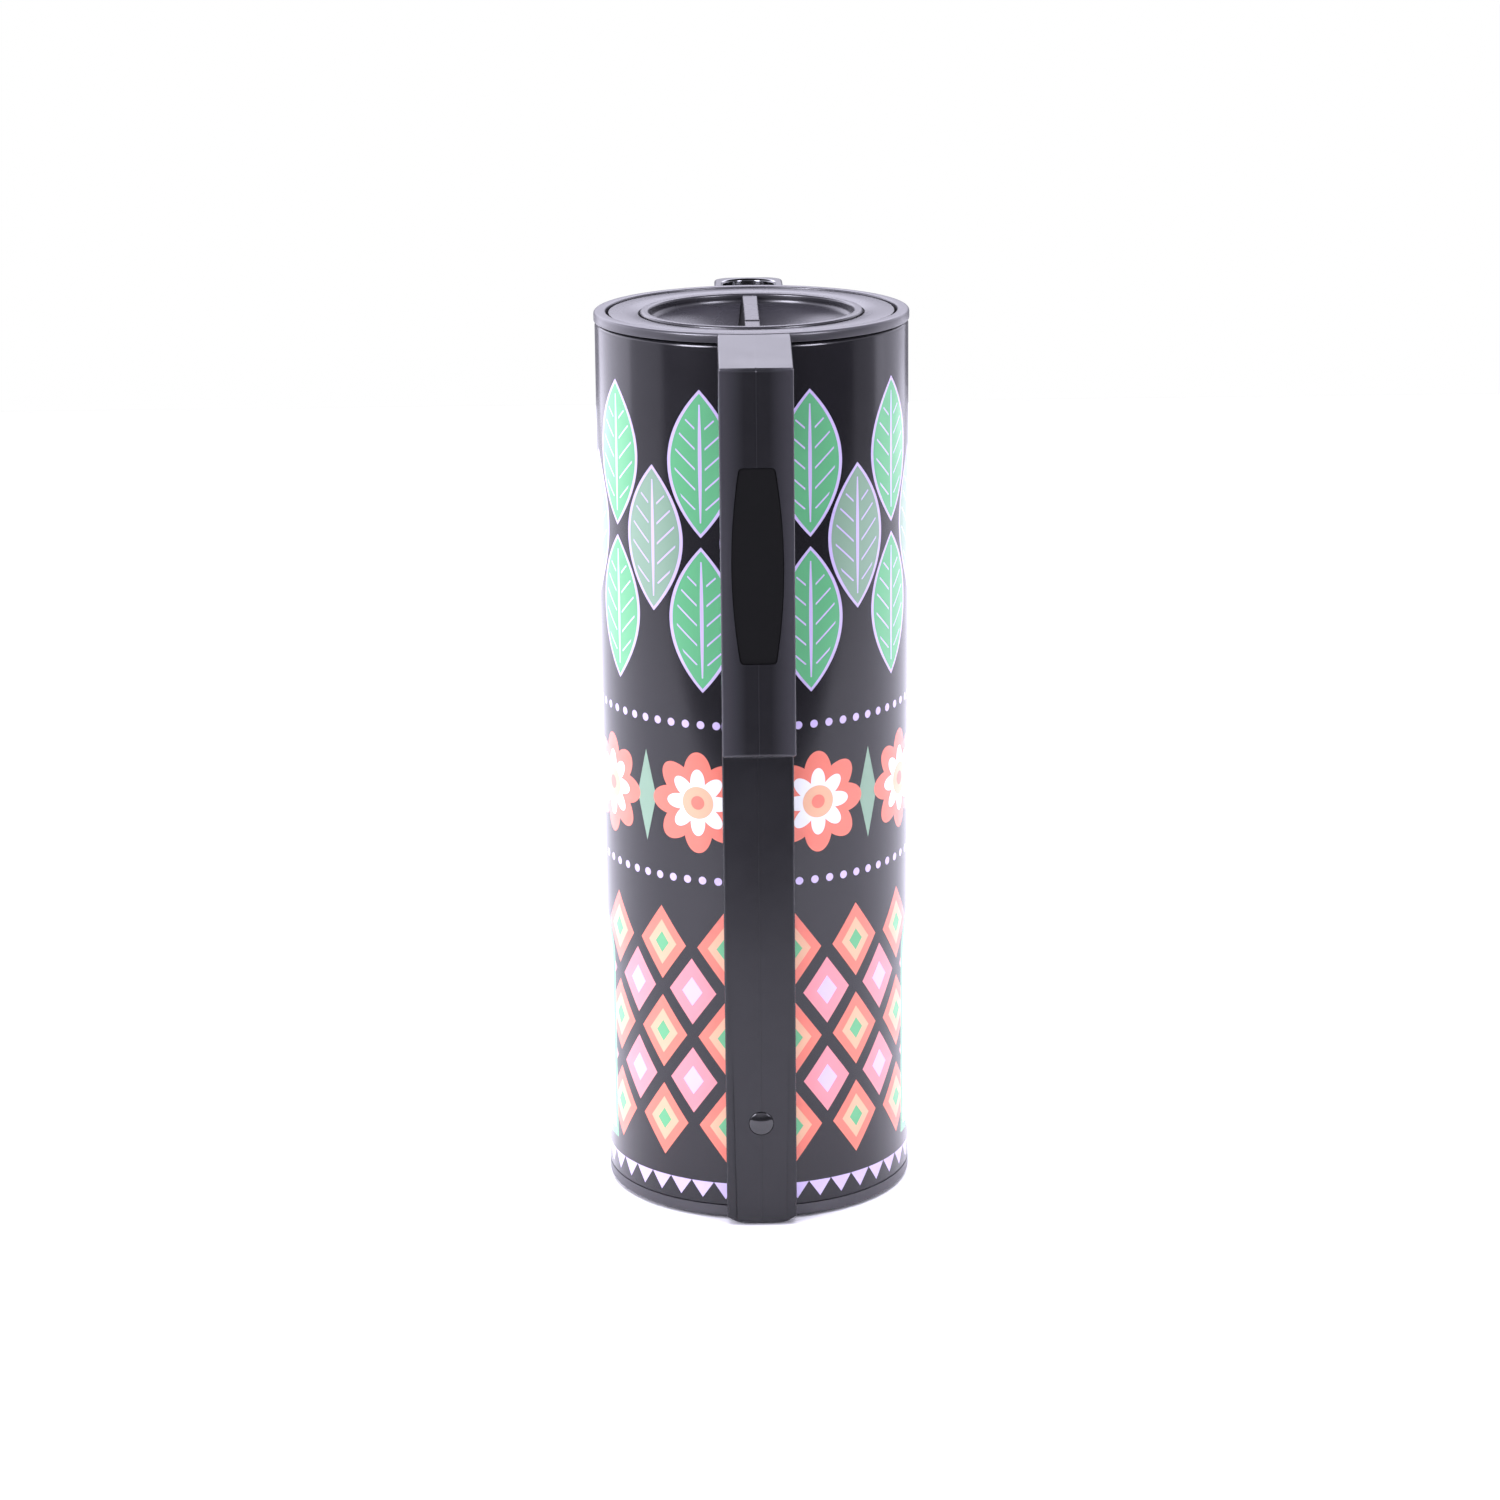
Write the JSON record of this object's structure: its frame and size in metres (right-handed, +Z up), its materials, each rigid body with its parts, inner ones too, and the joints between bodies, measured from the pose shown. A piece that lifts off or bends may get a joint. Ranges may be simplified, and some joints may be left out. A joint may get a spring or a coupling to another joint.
{
  "type": "pump pot",
  "caption": "Tall cylindrical vacuum pump pot with a press plate in its top, a grip bowl with a cross bar, a square side handle and a bright cup-shaped spout.",
  "frame": {"origin": "middle of the base, on the surface that the pot stands on", "axes": "+Z up along the pot's axis, handle towards -Y, spout towards +Y"},
  "size_m": [0.1334, 0.2103, 0.385],
  "materials": {
    "printed_shell": "satin black with a printed pattern",
    "black_plastic": "fine matte moulded plastic",
    "handle_plastic": "satin moulded plastic with a parting line",
    "soft_inlay": "very dark matte soft-touch",
    "gloss_cap": "polished black",
    "bright_spout": "bright plated",
    "glass": "silvered flask glass",
    "rubber": "matte",
    "silicone": "translucent matte",
    "foam": "open foam",
    "pump_plastic": "natural moulded plastic",
    "clear_tube": "translucent tube",
    "steel": "bright steel",
    "brass": "turned brass"
  },
  "bodies": {
    "pot": {"foot_pad": "rubber", "base_cap": "black_plastic", "base_plug": "black_plastic", "liner_cushion": "rubber", "liner_spacer": "foam", "liner_outer_glass": "glass", "liner_inner_glass": "glass", "neck_gasket": "silicone", "neck_collar": "black_plastic", "outer_shell": "printed_shell", "top_ring": "black_plastic", "handle": "handle_plastic", "grip_inlay": "soft_inlay", "handle_screw": "steel", "screw_cap": "gloss_cap", "screw_insert": "brass", "upper_screws": "steel", "spout": "bright_spout", "spout_seal": "rubber", "spout_screws": "steel"},
    "pump_unit": {"pump_housing": "pump_plastic", "stopper_seal": "silicone", "guide_bush": "pump_plastic", "outlet_pipe": "clear_tube", "port_seal": "rubber", "riser_tube": "clear_tube", "foot_valve": "pump_plastic", "bellows_retainer": "pump_plastic", "bellows": "silicone", "return_spring": "steel"},
    "foot_ball": {"foot_ball": "steel"},
    "press_plate": {"press_plate": "black_plastic", "bellows_clamp": "pump_plastic", "intake_flap": "silicone", "stem_clip": "steel", "pivot_screw": "steel"},
    "grip": {"grip_bowl": "black_plastic", "grip_bar": "black_plastic", "shutter_disc": "silicone"}
  },
  "joints": [
    {"name": "unit_lift", "type": "slide", "parent": "pot", "child": "pump_unit", "axis": [0, 0, 1], "range_m": [0, 0.36]},
    {"name": "plate_press", "type": "slide", "parent": "pump_unit", "child": "press_plate", "axis": [0, 0, -1], "range_m": [0, 0.015], "stiffness_N_per_m": 800, "springref_m": -0.008, "deforming": ["bellows", "return_spring"]},
    {"name": "grip_turn", "type": "hinge", "parent": "press_plate", "child": "grip", "pos_m": [0, 0, 0.372], "axis": [0, 0, 1], "range_deg": [0, 90]},
    {"name": "ball_lift", "type": "slide", "parent": "pump_unit", "child": "foot_ball", "axis": [0, 0, 1], "range_m": [0, 0.004]}
  ]
}
